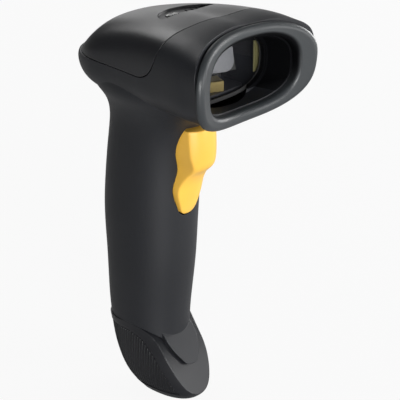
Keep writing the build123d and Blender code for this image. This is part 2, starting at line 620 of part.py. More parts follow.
with BuildPart() as trigger_switch:
    with BuildSketch(Plane.XZ.offset(-BOARD_Y + 0.02)) as case:
        with Locations((0, SWITCH_Z)):
            RectangleRounded(9.6, 6.4, 0.5)
    extrude(case.sketch, amount=BOARD_Y - 0.02 - PLUNGER_Y - 1.3)
    chamfer(trigger_switch.faces().sort_by(Axis.Y)[0].edges(), 0.3)
    with BuildSketch(Plane.XZ.offset(-PLUNGER_Y)) as plunger_hole:
        with Locations((0, SWITCH_Z)):
            Rectangle(2.9, 1.9)
    extrude(plunger_hole.sketch, amount=-5.2, mode=Mode.SUBTRACT)
trigger_switch.part.label = "trigger_switch"
export_step(trigger_switch.part, "parts/trigger_switch.step")

with BuildPart() as switch_plunger:
    with BuildSketch(Plane.XZ.offset(-PLUNGER_Y)) as stem:
        with Locations((0, SWITCH_Z)):
            Rectangle(2.8, 1.8)
    extrude(stem.sketch, amount=-3.6)
    fillet(switch_plunger.faces().sort_by(Axis.Y)[0].edges(), 0.4)
switch_plunger.part.label = "switch_plunger"
export_step(switch_plunger.part, "parts/switch_plunger.step")

# ---- modular jack for the cable, in the lower end of the grip -------------
JACK_TOP, JACK_END = 34.0, 20.5
with BuildPart() as cable_jack:
    with BuildSketch(Plane.XY.offset(JACK_END)) as shell:
        Rectangle(JACK_WIDE + 2 * JACK_WALL, JACK_DEEP + 2 * JACK_WALL)
    extrude(shell.sketch, amount=JACK_TOP - JACK_END)
    chamfer(cable_jack.edges().filter_by(Axis.Z), JACK_CORNER)
    # port, and the slot for the plug's latch
    with BuildSketch(Plane.XY.offset(JACK_END)) as port:
        Rectangle(JACK_WIDE, JACK_DEEP)
        with Locations((0, JACK_DEEP / 2 + JACK_WALL / 2)):
            Rectangle(4.4, JACK_WALL)
    extrude(port.sketch, amount=13.0, mode=Mode.SUBTRACT)
cable_jack.part.label = "cable_jack"
export_step(cable_jack.part, "parts/cable_jack.step")

with BuildPart() as jack_contacts:
    with BuildSketch(Plane.XZ.offset(JACK_DEEP / 2 - 0.3)) as comb:
        with Locations((0, JACK_TOP - 4.4)):
            Rectangle(8.6, 0.8)
        with Locations((0, JACK_TOP - 7.4)):
            with GridLocations(1.02, 0, 9, 1):
                Rectangle(0.45, 6.0)
    extrude(comb.sketch, amount=-0.4)
jack_contacts.part.label = "jack_contacts"
export_step(jack_contacts.part, "parts/jack_contacts.step")

with BuildPart() as jack_board:
    with BuildSketch(Plane.XY.offset(JACK_TOP + 0.05)) as plate:
        with Locations((0, 1.4)):
            RectangleRounded(13.6, 11.4, 3)
    extrude(plate.sketch, amount=-0.05 + 1.0)
jack_board.part.label = "jack_board"
export_step(jack_board.part, "parts/jack_board.step")

# ---- scan engine ------------------------------------------------------------
BASE_TOP = CHASSIS_Z + 1.8
with BuildPart() as engine_chassis:
    with BuildSketch(Plane.XY.offset(CHASSIS_Z)) as base:
        with Locations((0, -9.75)):
            RectangleRounded(31, 38.5, 3)
        with Locations((0, ENGINE_BOSS_Y)):
            SlotOverall(2 * ENGINE_BOSS_X + 5.6, 5.6)
        with Locations((-ENGINE_BOSS_X, ENGINE_BOSS_Y), (ENGINE_BOSS_X, ENGINE_BOSS_Y)):
            Circle(SCREW_R + 0.1, mode=Mode.SUBTRACT)
    extrude(base.sketch, amount=1.8)
    # back wall, side cheek for the laser and the post under the mirror axis
    with BuildSketch(Plane.XY.offset(BASE_TOP)) as walls:
        with Locations((0, 8.2)):
            Rectangle(27, 1.8)
        with Locations((14.3, 2)):
            Rectangle(1.8, 14)
    extrude(walls.sketch, amount=15)
    with BuildSketch(Plane.XY.offset(BASE_TOP)) as mirror_post:
        with Locations((MIRROR_X, MIRROR_Y)):
            Circle(2.4)
    extrude(mirror_post.sketch, amount=1.2)
    with BuildSketch(Plane.XY.offset(CHASSIS_Z)) as axle_hole:
        with Locations((MIRROR_X, MIRROR_Y)):
            Circle(0.85)
    extrude(axle_hole.sketch, amount=4, mode=Mode.SUBTRACT)
engine_chassis.part.label = "engine_chassis"
export_step(engine_chassis.part, "parts/engine_chassis.step")

with BuildPart() as scan_mirror:
    # tilted mirror plate on a turning hub, with the arm of the drive magnet behind it
    mirror_plane = Plane(origin=(MIRROR_X, MIRROR_Y, BASE_TOP + 1.3)).rotated(
        (0, 0, MIRROR_TURN))
    with BuildSketch(mirror_plane) as hub:
        Circle(2.2)
    extrude(hub.sketch, amount=12.0)
    plate_plane = Plane(origin=mirror_plane.from_local_coords((0, -2.3, 6.6)),
                        x_dir=mirror_plane.x_dir, z_dir=mirror_plane.z_dir).rotated(
        (-MIRROR_TILT, 0, 0))
    with BuildSketch(plate_plane.offset(-5)) as plate:
        Rectangle(13, 1.3)
    extrude(plate.sketch, amount=10)
    with BuildSketch(mirror_plane.offset(3.4)) as arm:
        with Locations((0, 3.8)):
            Rectangle(2.2, 5.0)
    extrude(arm.sketch, amount=4)
    with BuildSketch(mirror_plane.offset(-2.6)) as axle:
        Circle(0.8)
    extrude(axle.sketch, amount=3)
scan_mirror.part.label = "scan_mirror"
export_step(scan_mirror.part, "parts/scan_mirror.step")

LASER_CENTRE, LASER_R = (2.0, -24.5), 2.1
with BuildPart() as laser_module:
    # square heat block with the round barrel of the diode on its left
    laser_plane = Plane(origin=(*LASER_CENTRE, BASE_TOP + 0.02)).rotated((0, 0, ENGINE_TURN))
    with BuildSketch(laser_plane) as heat_block:
        Rectangle(7.0, 6.0)
    extrude(heat_block.sketch, amount=4.2)
    chamfer(laser_module.faces().sort_by(Axis.Z)[-1].edges(), 0.4)
    barrel_plane = Plane(origin=laser_plane.from_local_coords((-3.5, 0, 2.2)),
                         x_dir=laser_plane.y_dir, z_dir=-laser_plane.x_dir)
    with BuildSketch(barrel_plane) as barrel_end:
        Circle(LASER_R)
    extrude(barrel_end.sketch, amount=4.6)
    with BuildSketch(barrel_plane.offset(4.6)) as aperture:
        Circle(1.1)
    extrude(aperture.sketch, amount=-2.0, mode=Mode.SUBTRACT)
laser_module.part.label = "laser_module"
export_step(laser_module.part, "parts/laser_module.step")

with BuildPart() as collector_mirror:
    with BuildSketch(Plane.XZ.offset(-7.2)) as blank:
        with Locations((-6.6, 144.6)):
            RectangleRounded(15, 14.4, 3)
    extrude(blank.sketch, amount=4.4)
    with Locations((-6.6, -19.0, 144.6)):
        Sphere(25.2, mode=Mode.SUBTRACT)
collector_mirror.part.label = "collector_mirror"
export_step(collector_mirror.part, "parts/collector_mirror.step")

with BuildPart() as drive_coil:
    with BuildSketch(Plane.XZ.offset(9.6)) as winding:
        with Locations((MIRROR_X, BASE_TOP + 3.1)):
            RectangleRounded(6.4, 6.0, 2.2)
    extrude(winding.sketch, amount=-2.8)
    with BuildSketch(Plane.XZ.offset(9.9)) as cheeks:
        with Locations((MIRROR_X, BASE_TOP + 3.1)):
            RectangleRounded(7.6, 6.1, 1.0)
            Circle(0.9, mode=Mode.SUBTRACT)
    extrude(cheeks.sketch, amount=-0.5)
drive_coil.part.label = "drive_coil"
export_step(drive_coil.part, "parts/drive_coil.step")

with BuildPart() as photodetector:
    with BuildSketch(Plane.YZ.offset(13.38)) as can:
        with Locations((-1.0, 139.5)):
            RectangleRounded(6.4, 6.4, 0.8)
    extrude(can.sketch, amount=-1.4)
    with BuildSketch(Plane.YZ.offset(11.98)) as die:
        with Locations((-1.0, 139.5)):
            Rectangle(4.2, 4.2)
    extrude(die.sketch, amount=0.3, mode=Mode.SUBTRACT)
photodetector.part.label = "photodetector"
export_step(photodetector.part, "parts/photodetector.step")

with BuildPart() as engine_board:
    with BuildSketch(Plane.XZ.offset(-9.52)) as card:
        with Locations((0, 138)):
            RectangleRounded(27, 17, 1)
    extrude(card.sketch, amount=-1.0)
engine_board.part.label = "engine_board"
export_step(engine_board.part, "parts/engine_board.step")

with BuildPart() as engine_connector:
    with BuildSketch(Plane.XZ.offset(-10.54)) as shell_block:
        with Locations((0, 137)):
            Rectangle(14, 3.6)
    extrude(shell_block.sketch, amount=-2.4)
    with BuildSketch(Plane.XY.offset(135.2)) as entry:
        with Locations((0, 11.9)):
            Rectangle(11.4, 0.9)
    extrude(entry.sketch, amount=2.6, mode=Mode.SUBTRACT)
engine_connector.part.label = "engine_connector"
export_step(engine_connector.part, "parts/engine_connector.step")

with BuildPart() as ribbon_cable:
    with BuildSketch(Plane.YZ) as strip:
        with BuildLine() as run:
            FilletPolyline((BOARD_BACK + 1.5, 99.6), (BOARD_BACK + 1.5, 112), (8.4, 121),
                           (11.9, 129), (11.9, 137.4), radius=6)
        trace(run.line, line_width=0.35)
    extrude(strip.sketch, amount=5.5, both=True)
ribbon_cable.part.label = "ribbon_cable"
export_step(ribbon_cable.part, "parts/ribbon_cable.step")

# ---- indicator window and beeper under the crown ---------------------------
with BuildPart() as status_lens:
    with BuildSketch(Plane.XY.offset(CROWN_Z - 4.95)) as flange:
        with Locations((-3.6, -10.4)):
            SlotOverall(8.0, 4.6)
    extrude(flange.sketch, amount=1.0)
    with BuildSketch(Plane.XY.offset(CROWN_Z - 4.0)) as dome:
        with Locations((-3.6, -10.4)):
            SlotOverall(6.0, 2.6)
    extrude(dome.sketch, amount=2.2)
    fillet(status_lens.faces().sort_by(Axis.Z)[-1].edges(), 0.35)
status_lens.part.label = "status_lens"
export_step(status_lens.part, "parts/status_lens.step")

with BuildPart() as beeper:
    with BuildSketch(Plane.XY.offset(CROWN_Z - 8.2)) as can_outline:
        with Locations((7.6, -13.0)):
            Circle(5.6)
    extrude(can_outline.sketch, amount=4.2)
    with BuildSketch(Plane.XY.offset(CROWN_Z - 4.0)) as sound_hole:
        with Locations((7.6, -13.0)):
            Circle(1.2)
    extrude(sound_hole.sketch, amount=-1.6, mode=Mode.SUBTRACT)
    chamfer(beeper.faces().sort_by(Axis.Z)[0].edges(), 0.4)
beeper.part.label = "beeper"
export_step(beeper.part, "parts/beeper.step")

# ---- self-tapping screws: underside of the head, direction, length ----------
SCREWS = {
    "cover_screw_1": ((-COVER_SCREW_X, COVER_SCREW_Y, SEAM_Z - 4.52), (0, 0, 1), 6.0),
    "cover_screw_2": ((COVER_SCREW_X, COVER_SCREW_Y, SEAM_Z - 4.52), (0, 0, 1), 6.0),
    "engine_screw_1": ((-ENGINE_BOSS_X, ENGINE_BOSS_Y, BASE_TOP + 0.02), (0, 0, -1), 5.8),
    "engine_screw_2": ((ENGINE_BOSS_X, ENGINE_BOSS_Y, BASE_TOP + 0.02), (0, 0, -1), 5.8),
    "boot_screw": ((0, BOOT_SCREW_Y + 0.02, BOOT_SCREW_Z), (0, -1, 0), 7.5),
}
for name, (start, direction, length) in SCREWS.items():
    with BuildPart(Plane(origin=start, z_dir=direction)) as screw:
        Cylinder(SCREW_R, length, align=(Align.CENTER, Align.CENTER, Align.MIN))
        with Locations((0, 0, -SCREW_HEAD)):
            Cylinder(SCREW_HEAD_R, SCREW_HEAD, align=(Align.CENTER, Align.CENTER, Align.MIN))
        fillet(screw.faces().sort_by(Axis(start, direction))[0].edges(), 0.5)
        with Locations((0, 0, -SCREW_HEAD)):
            Box(2.4, 0.5, 1.4, mode=Mode.SUBTRACT)
            Box(0.5, 2.4, 1.4, mode=Mode.SUBTRACT)
    screw.part.label = name
    export_step(screw.part, f"parts/{name}.step")
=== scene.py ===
import json
from math import atan2, cos, pi, radians, sin

import bmesh
import bpy
from mathutils import Matrix, Vector


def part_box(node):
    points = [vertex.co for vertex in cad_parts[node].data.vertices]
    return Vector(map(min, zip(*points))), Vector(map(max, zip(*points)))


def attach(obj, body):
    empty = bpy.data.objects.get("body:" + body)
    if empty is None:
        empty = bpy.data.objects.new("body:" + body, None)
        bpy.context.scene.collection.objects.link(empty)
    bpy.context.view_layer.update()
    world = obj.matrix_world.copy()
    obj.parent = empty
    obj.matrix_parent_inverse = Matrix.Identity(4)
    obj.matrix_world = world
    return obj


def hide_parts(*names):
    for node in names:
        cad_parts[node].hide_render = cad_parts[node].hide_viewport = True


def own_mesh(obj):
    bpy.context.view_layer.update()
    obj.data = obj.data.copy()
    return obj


# Handheld laser barcode scanner: finishes, small parts and studio. Metres, Z up, window faces -Y.

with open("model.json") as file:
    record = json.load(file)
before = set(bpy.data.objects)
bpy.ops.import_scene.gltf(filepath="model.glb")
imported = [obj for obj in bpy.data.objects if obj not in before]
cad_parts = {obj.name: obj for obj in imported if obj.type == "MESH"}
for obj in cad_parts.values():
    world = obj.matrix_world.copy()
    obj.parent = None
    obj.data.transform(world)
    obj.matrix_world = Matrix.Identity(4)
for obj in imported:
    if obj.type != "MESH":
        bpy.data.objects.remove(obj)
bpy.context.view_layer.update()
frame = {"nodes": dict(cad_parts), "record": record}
nodes = frame["nodes"]
joints = {joint["name"]: joint for joint in frame["record"]["behaviour"]["joints"]}

MM = 0.001


# ---- camera and studio ------------------------------------------------------
VIEW_TURN, VIEW_TILT = radians(-47.74), radians(23.65)
VIEW_DISTANCE = 0.5201
VIEW_TARGET = Vector((0.0, -0.02058, 0.08661))
LENS, SENSOR_WIDTH = 124.3, 36.0         # millimetres
NEAREST, FARTHEST = 0.01, 50.0


def place_camera():
    """Three-quarter view from the front left and above."""
    back = Vector((sin(VIEW_TURN) * cos(VIEW_TILT), -cos(VIEW_TURN) * cos(VIEW_TILT),
                   sin(VIEW_TILT)))
    data = bpy.data.cameras.new("camera")
    data.lens, data.sensor_width = LENS, SENSOR_WIDTH
    data.clip_start, data.clip_end = NEAREST, FARTHEST
    camera = bpy.data.objects.new("camera", data)
    camera.location = VIEW_TARGET + back * VIEW_DISTANCE
    camera.rotation_euler = back.to_track_quat("Z", "Y").to_euler()
    bpy.context.scene.collection.objects.link(camera)
    bpy.context.scene.camera = camera


LAMPS_AIM = Vector((0.0, 0.0, 0.09))     # a point in the upper grip
# lamp: place, width, height, watts
LAMPS = {
    "right_key": ((1.1, -0.2, 0.35), 0.5, 0.5, 10.5),
    "left_fill": ((-0.6, -0.9, 0.2), 0.5, 0.5, 13.0),
    "front_fill": ((0.45, -1.0, 0.25), 0.5, 0.5, 5.0),
    "overhead": ((0.27, 0.73, 0.87), 0.6, 0.5, 4.0),
    "back_right": ((0.8, 0.75, 0.3), 0.5, 0.5, 0.9),
}


def soft_light(name, place, width, height, power):
    """Area lamp that faces LAMPS_AIM."""
    data = bpy.data.lights.new(name, "AREA")
    data.shape, data.size, data.size_y = "RECTANGLE", width, height
    data.energy = power
    light = bpy.data.objects.new(name, data)
    light.location = place
    light.rotation_euler = (Vector(place) - LAMPS_AIM).to_track_quat("Z", "Y").to_euler()
    bpy.context.scene.collection.objects.link(light)


def maths(tree, operation, first, second=0.0, clamp=False):
    """The result of one Math node on two numbers or sockets."""
    node = tree.nodes.new("ShaderNodeMath")
    node.operation, node.use_clamp = operation, clamp
    for socket, value in zip(node.inputs, (first, second)):
        if isinstance(value, bpy.types.NodeSocket):
            tree.links.new(value, socket)
        else:
            socket.default_value = value
    return node.outputs[0]


def background_share(tree, straight, reflected):
    """How much of a bright background each kind of ray sees: straight or through glass, or
    in a reflection; none for the rays that carry light on to the object."""
    path = tree.nodes.new("ShaderNodeLightPath")
    through = maths(tree, "MAXIMUM", path.outputs["Is Camera Ray"],
                    path.outputs["Is Transmission Ray"])
    return maths(tree, "MAXIMUM", maths(tree, "MULTIPLY", through, straight),
                 maths(tree, "MULTIPLY", path.outputs["Is Glossy Ray"], reflected))


WORLD_COLOUR, WORLD_LEVEL = (0.9, 0.92, 0.95), 0.05     # as it lights the object
# share of plain white that a ray sees, straight and in a reflection
WORLD_SHARES = (1.0, 0.05)
FLOOR_SHARES = (0.92, 0.1)
FLOOR_GREY, FLOOR_ROUGHNESS = 0.45, 0.9
FLOOR_SIZE = 6.0
FLOOR_DROP = 0.1 * MM                    # under the sole, so the sole still shows from below


def build_world():
    """Weak plain light on the object, white behind it."""
    world = bpy.data.worlds.new("studio")
    world.use_nodes = True
    tree = world.node_tree
    plain = tree.nodes["Background"]
    plain.inputs["Color"].default_value = (*WORLD_COLOUR, 1)
    plain.inputs["Strength"].default_value = WORLD_LEVEL
    white = tree.nodes.new("ShaderNodeBackground")
    white.inputs["Color"].default_value = (1, 1, 1, 1)
    white.inputs["Strength"].default_value = 1.0
    blend = tree.nodes.new("ShaderNodeMixShader")
    tree.links.new(background_share(tree, *WORLD_SHARES), blend.inputs[0])
    tree.links.new(plain.outputs[0], blend.inputs[1])
    tree.links.new(white.outputs[0], blend.inputs[2])
    tree.links.new(blend.outputs[0], tree.nodes["World Output"].inputs["Surface"])
    bpy.context.scene.world = world


def build_floor():
    """Grey paper that looks nearly white to the camera."""
    bpy.ops.object.select_all(action="DESELECT")
    bpy.ops.mesh.primitive_plane_add(size=FLOOR_SIZE, location=(0, 0, -FLOOR_DROP))
    floor = bpy.context.object
    floor.name = "floor"
    paper, tree, shade = new_material("floor_paper")
    shade.inputs["Base Color"].default_value = (FLOOR_GREY, FLOOR_GREY, FLOOR_GREY, 1)
    shade.inputs["Roughness"].default_value = FLOOR_ROUGHNESS
    glow = tree.nodes.new("ShaderNodeEmission")
    glow.inputs["Strength"].default_value = 1.0
    blend = tree.nodes.new("ShaderNodeMixShader")
    tree.links.new(background_share(tree, *FLOOR_SHARES), blend.inputs[0])
    tree.links.new(shade.outputs[0], blend.inputs[1])
    tree.links.new(glow.outputs[0], blend.inputs[2])
    tree.links.new(blend.outputs[0], tree.nodes["Material Output"].inputs["Surface"])
    floor.data.materials.append(paper)


def build_studio():
    """Lamps, world and floor."""
    for name, lamp in LAMPS.items():
        soft_light(name, *lamp)
    build_world()
    build_floor()
    bpy.context.scene.view_settings.view_transform = "Standard"


# ---- shared effects ---------------------------------------------------------
def new_material(name):
    """A material with its node tree and its Principled shader."""
    material = bpy.data.materials.new(name)
    material.use_nodes = True
    tree = material.node_tree
    return material, tree, tree.nodes["Principled BSDF"]


def new_group(name, inputs, outputs):
    """Empty node group with named float inputs and outputs, given as name: default."""
    group = bpy.data.node_groups.new(name, "ShaderNodeTree")
    for label, value in inputs.items():
        socket = group.interface.new_socket(label, in_out="INPUT", socket_type="NodeSocketFloat")
        socket.default_value = value
    for label in outputs:
        group.interface.new_socket(label, in_out="OUTPUT", socket_type="NodeSocketFloat")
    return group, group.nodes.new("NodeGroupInput"), group.nodes.new("NodeGroupOutput")


def object_place(tree):
    """The object's own coordinates, from one node for the whole tree."""
    for node in tree.nodes:
        if node.type == "TEX_COORD":
            return node.outputs["Object"]
    return tree.nodes.new("ShaderNodeTexCoord").outputs["Object"]


def noise(tree, scale, detail=2.0, roughness=0.5, vector=None):
    """Noise with about `scale` bumps to the metre, on Object coordinates by default."""
    node = tree.nodes.new("ShaderNodeTexNoise")
    node.inputs["Detail"].default_value = detail
    node.inputs["Roughness"].default_value = roughness
    if isinstance(scale, bpy.types.NodeSocket):
        tree.links.new(scale, node.inputs["Scale"])
    else:
        node.inputs["Scale"].default_value = scale
    tree.links.new(vector or object_place(tree), node.inputs["Vector"])
    return node.outputs[0]


GRAIN_SCALE = 2200.0                     # pits to the metre
PIT_SMOOTHNESS = 0.6
WAVE_SCALE = 160.0
PIT_SHARE, WAVE_SHARE = 0.7, 0.25        # of the height


def spark_grain():
    """Height of a spark-eroded mould surface: fine rounded pits and a slow waviness."""
    group, given, made = new_group("spark_grain", {"Scale": GRAIN_SCALE}, ["Height"])
    cells = group.nodes.new("ShaderNodeTexVoronoi")
    cells.feature = "SMOOTH_F1"
    cells.inputs["Smoothness"].default_value = PIT_SMOOTHNESS
    group.links.new(object_place(group), cells.inputs["Vector"])
    group.links.new(given.outputs["Scale"], cells.inputs["Scale"])
    fine = maths(group, "MULTIPLY", cells.outputs["Distance"], PIT_SHARE)
    waves = maths(group, "MULTIPLY", noise(group, WAVE_SCALE, detail=3.0), WAVE_SHARE)
    group.links.new(maths(group, "ADD", fine, waves), made.inputs["Height"])
    return group


BEVEL_SAMPLES = 6
WEAR_WIDTH = 0.6 * MM
WEAR_RISE = 9.0                          # how fast the wear grows as an edge gets sharper
WEAR_PATCHES = 420.0                     # to the metre
WEAR_UNWORN, WEAR_CONTRAST = 0.42, 5.0   # noise under the first stays unworn


def edge_wear():
    """Mask along sharp edges, broken up where hands and counters have rubbed."""
    group, given, made = new_group("edge_wear", {"Amount": 1.0}, ["Mask"])
    round_off = group.nodes.new("ShaderNodeBevel")
    round_off.samples = BEVEL_SAMPLES
    round_off.inputs["Radius"].default_value = WEAR_WIDTH
    surface = group.nodes.new("ShaderNodeNewGeometry")
    alike = group.nodes.new("ShaderNodeVectorMath")
    alike.operation = "DOT_PRODUCT"
    group.links.new(round_off.outputs["Normal"], alike.inputs[0])
    group.links.new(surface.outputs["Normal"], alike.inputs[1])
    bend = maths(group, "SUBTRACT", 1.0, alike.outputs["Value"], clamp=True)
    strong = maths(group, "MULTIPLY", bend, WEAR_RISE, clamp=True)
    blotches = noise(group, WEAR_PATCHES, detail=4.0, roughness=0.6)
    patches = maths(group, "SUBTRACT", blotches, WEAR_UNWORN, clamp=True)
    crisp = maths(group, "MULTIPLY", patches, WEAR_CONTRAST, clamp=True)
    broken = maths(group, "MULTIPLY", crisp, strong)
    group.links.new(maths(group, "MULTIPLY", broken, given.outputs["Amount"]), made.inputs["Mask"])
    return group


SMUDGE_SCALE, RUB_SCALE, CLOUD_SCALE = 55.0, 900.0, 24.0    # to the metre
RUB_SHARE = 0.35                         # of fine rubbing, beside the smudges
NOISE_MIDDLE = 0.5


def handling_marks():
    """Roughness shift of smudges and fine rubbing, and a faint colour cloud."""
    group, given, made = new_group("handling_marks", {"Scale": SMUDGE_SCALE, "Amount": 1.0},
                                   ["Roughness shift", "Cloud"])
    fingers = noise(group, given.outputs["Scale"], detail=5.0, roughness=0.62)
    smudge = maths(group, "SUBTRACT", fingers, NOISE_MIDDLE)
    rubbed = maths(group, "SUBTRACT", noise(group, RUB_SCALE), NOISE_MIDDLE)
    both = maths(group, "ADD", smudge, maths(group, "MULTIPLY", rubbed, RUB_SHARE))
    group.links.new(maths(group, "MULTIPLY", both, given.outputs["Amount"]),
                    made.inputs["Roughness shift"])
    group.links.new(noise(group, CLOUD_SCALE, detail=3.0), made.inputs["Cloud"])
    return group


GRAIN, WEAR, MARKS = spark_grain(), edge_wear(), handling_marks()


def use_group(tree, group, **values):
    """A node that runs the group, with the given inputs set."""
    node = tree.nodes.new("ShaderNodeGroup")
    node.node_tree = group
    for label, value in values.items():
        node.inputs[label].default_value = value
    return node


def blend_colours(tree, share, first, second):
    """The first colour where share is 0, the second where it is 1."""
    node = tree.nodes.new("ShaderNodeMix")
    node.data_type = "RGBA"
    tree.links.new(share, node.inputs["Factor"])
    # a Mix node has sockets for every kind of data: 6, 7 and output 2 are those for colour
    for socket, value in ((node.inputs[6], first), (node.inputs[7], second)):
        if isinstance(value, bpy.types.NodeSocket):
            tree.links.new(value, socket)
        else:
            socket.default_value = (*value, 1)
    return node.outputs[2]


def add_bump(tree, shade, height, strength, distance=0.1 * MM):
    """Bumps the surface by a height; gives back the Bump node."""
    bump = tree.nodes.new("ShaderNodeBump")
    bump.inputs["Strength"].default_value = strength
    bump.inputs["Distance"].default_value = distance
    tree.links.new(height, bump.inputs["Height"])
    tree.links.new(bump.outputs["Normal"], shade.inputs["Normal"])
    return bump


EDGE_ROUND = 0.35 * MM                   # of a moulded edge, which catches a line of light
TRIGGER_ROUND = 1.4 * MM
SMUDGE = 0.12                            # how far smudges shift a moulding's roughness
WORN_POLISH = 0.12                       # worn edges are less rough by this
CLOUD_DEEP, CLOUD_PALE = 0.82, 1.14      # the colour cloud's darkest and palest share


def moulded(name, colour, worn, roughness, grain=GRAIN_SCALE, bump=0.35, specular=0.5,
            wear=0.5, edge=EDGE_ROUND):
    """Moulded plastic or rubber: grain, smudges and paler rubbed edges."""
    material, tree, shade = new_material(name)
    marks = use_group(tree, MARKS, Amount=SMUDGE)
    mask = use_group(tree, WEAR, Amount=wear)
    deep = tuple(c * CLOUD_DEEP for c in colour)
    pale = tuple(min(1.0, c * CLOUD_PALE) for c in colour)
    cloud = blend_colours(tree, marks.outputs["Cloud"], deep, pale)
    tree.links.new(blend_colours(tree, mask.outputs["Mask"], cloud, worn),
                   shade.inputs["Base Color"])
    rough = maths(tree, "ADD", marks.outputs["Roughness shift"], roughness)
    rubbed = maths(tree, "MULTIPLY", mask.outputs["Mask"], -WORN_POLISH)
    tree.links.new(maths(tree, "ADD", rough, rubbed, clamp=True), shade.inputs["Roughness"])
    shade.inputs["Specular IOR Level"].default_value = specular
    pits = use_group(tree, GRAIN, Scale=grain)
    grained = add_bump(tree, shade, pits.outputs["Height"], bump)
    soft_edge = tree.nodes.new("ShaderNodeBevel")
    soft_edge.samples = BEVEL_SAMPLES
    soft_edge.inputs["Radius"].default_value = edge
    tree.links.new(soft_edge.outputs["Normal"], grained.inputs["Normal"])
    return material


MOUTH_HALF_X, MOUTH_HALF_Z = 23.9 * MM, 12.7 * MM    # the mouth is a rounded oblong
MOUTH_POWER = 2.75                       # of its outline: 2 would be an ellipse
# painted shade: the mouth's tunnel and the bumper's inner lip are coloured near black, made duller
# and less reflective, in place of the shade in that recess
SHADE_MIDDLE_Z = 141.9 * MM              # the painted shade sits 1.2 mm above the mouth's middle
SHADE_FADE = 1.06                        # and ends at this multiple of the outline
SHADE_BACK_Y = -29.0 * MM                # it reaches back to just behind the window
SHADE_SILL_Z = -11.2 * MM                # from its middle; the sill below keeps its own finish
# colour of the painted shade
SHADE_COLOUR = (0.0045, 0.0048, 0.006)
SHADE_DULLNESS = 0.25                    # added to the roughness
SHADE_METALLIC = 0.9                     # takes away the plastic's pale reflection where the shade is painted


def paint_mouth_shade(material):
    """Paints shade into the tunnel in front of the window: matt near-black, fading out on the
    bumper's lip.
    """
    tree = material.node_tree
    shade = tree.nodes["Principled BSDF"]
    centred = tree.nodes.new("ShaderNodeMapping")
    centred.vector_type = "POINT"
    centred.inputs["Location"].default_value = (0, 0, -SHADE_MIDDLE_Z)
    tree.links.new(object_place(tree), centred.inputs["Vector"])
    place = tree.nodes.new("ShaderNodeSeparateXYZ")
    tree.links.new(centred.outputs["Vector"], place.inputs[0])
    terms = []
    for label, half in (("X", MOUTH_HALF_X), ("Z", MOUTH_HALF_Z)):
        far = maths(tree, "ABSOLUTE", maths(tree, "DIVIDE", place.outputs[label], half))
        terms.append(maths(tree, "POWER", far, MOUTH_POWER))
    outline = maths(tree, "POWER", maths(tree, "ADD", *terms), 1 / MOUTH_POWER)
    left_over = maths(tree, "SUBTRACT", SHADE_FADE, outline)
    fade = maths(tree, "DIVIDE", left_over, SHADE_FADE - 1.0, clamp=True)
    front = maths(tree, "LESS_THAN", place.outputs["Y"], SHADE_BACK_Y)
    above = maths(tree, "GREATER_THAN", place.outputs["Z"], SHADE_SILL_Z)
    # the share of painted shade at each point
    inside = maths(tree, "MULTIPLY", maths(tree, "MULTIPLY", fade, front), above)
    colour = shade.inputs["Base Color"].links[0].from_socket
    tree.links.new(blend_colours(tree, inside, colour, SHADE_COLOUR),
                   shade.inputs["Base Color"])
    rough = shade.inputs["Roughness"].links[0].from_socket
    duller = maths(tree, "MULTIPLY", inside, SHADE_DULLNESS)
    tree.links.new(maths(tree, "ADD", rough, duller, clamp=True), shade.inputs["Roughness"])
    tree.links.new(maths(tree, "MULTIPLY", inside, SHADE_METALLIC), shade.inputs["Metallic"])


METAL_DULL = 0.72                        # darkest share of a metal's colour, in its streaks
METAL_SMUDGE = 0.15
STREAK_SCALE = 1500.0                    # to the metre
STREAK_DEPTH = 0.04 * MM


def metal(name, colour, roughness, lines=(1, 1, 1), bump=0.1):
    """Bare metal with fine streaks. `lines` scales them along each axis: a number under 1
    draws them out into tool lines, one over 1 packs them."""
    material, tree, shade = new_material(name)
    scale = tree.nodes.new("ShaderNodeMapping")
    scale.inputs["Scale"].default_value = lines
    tree.links.new(object_place(tree), scale.inputs["Vector"])
    streaks = noise(tree, STREAK_SCALE, detail=3.0, roughness=0.6,
                    vector=scale.outputs["Vector"])
    marks = use_group(tree, MARKS, Amount=METAL_SMUDGE)
    dull = tuple(c * METAL_DULL for c in colour)
    tree.links.new(blend_colours(tree, streaks, dull, colour), shade.inputs["Base Color"])
    tree.links.new(maths(tree, "ADD", marks.outputs["Roughness shift"], roughness, clamp=True),
                   shade.inputs["Roughness"])
    shade.inputs["Metallic"].default_value = 1.0
    add_bump(tree, shade, streaks, bump, STREAK_DEPTH)
    return material


ACRYLIC_IOR = 1.49
PANE_MARKS = dict(Scale=70.0, Amount=0.06)


def clear(name, colour, roughness, alpha=None):
    """Clear plastic with faint smudges; a thin pane is see-through by its alpha."""
    material, tree, shade = new_material(name)
    marks = use_group(tree, MARKS, **PANE_MARKS)
    shade.inputs["Base Color"].default_value = (*colour, 1)
    tree.links.new(maths(tree, "ADD", marks.outputs["Roughness shift"], roughness, clamp=True),
                   shade.inputs["Roughness"])
    shade.inputs["IOR"].default_value = ACRYLIC_IOR
    if alpha is None:
        shade.inputs["Transmission Weight"].default_value = 1.0
    else:
        shade.inputs["Alpha"].default_value = alpha
    return material


MASK_GREEN, TRACK_GREEN = (0.012, 0.10, 0.035), (0.03, 0.21, 0.08)
MASK_ROUGHNESS = 0.3
TRACK_SCALE, TRACK_WIDTH = 260.0, 0.03
TRACK_RISE, TRACK_BUMP = 0.03 * MM, 0.4


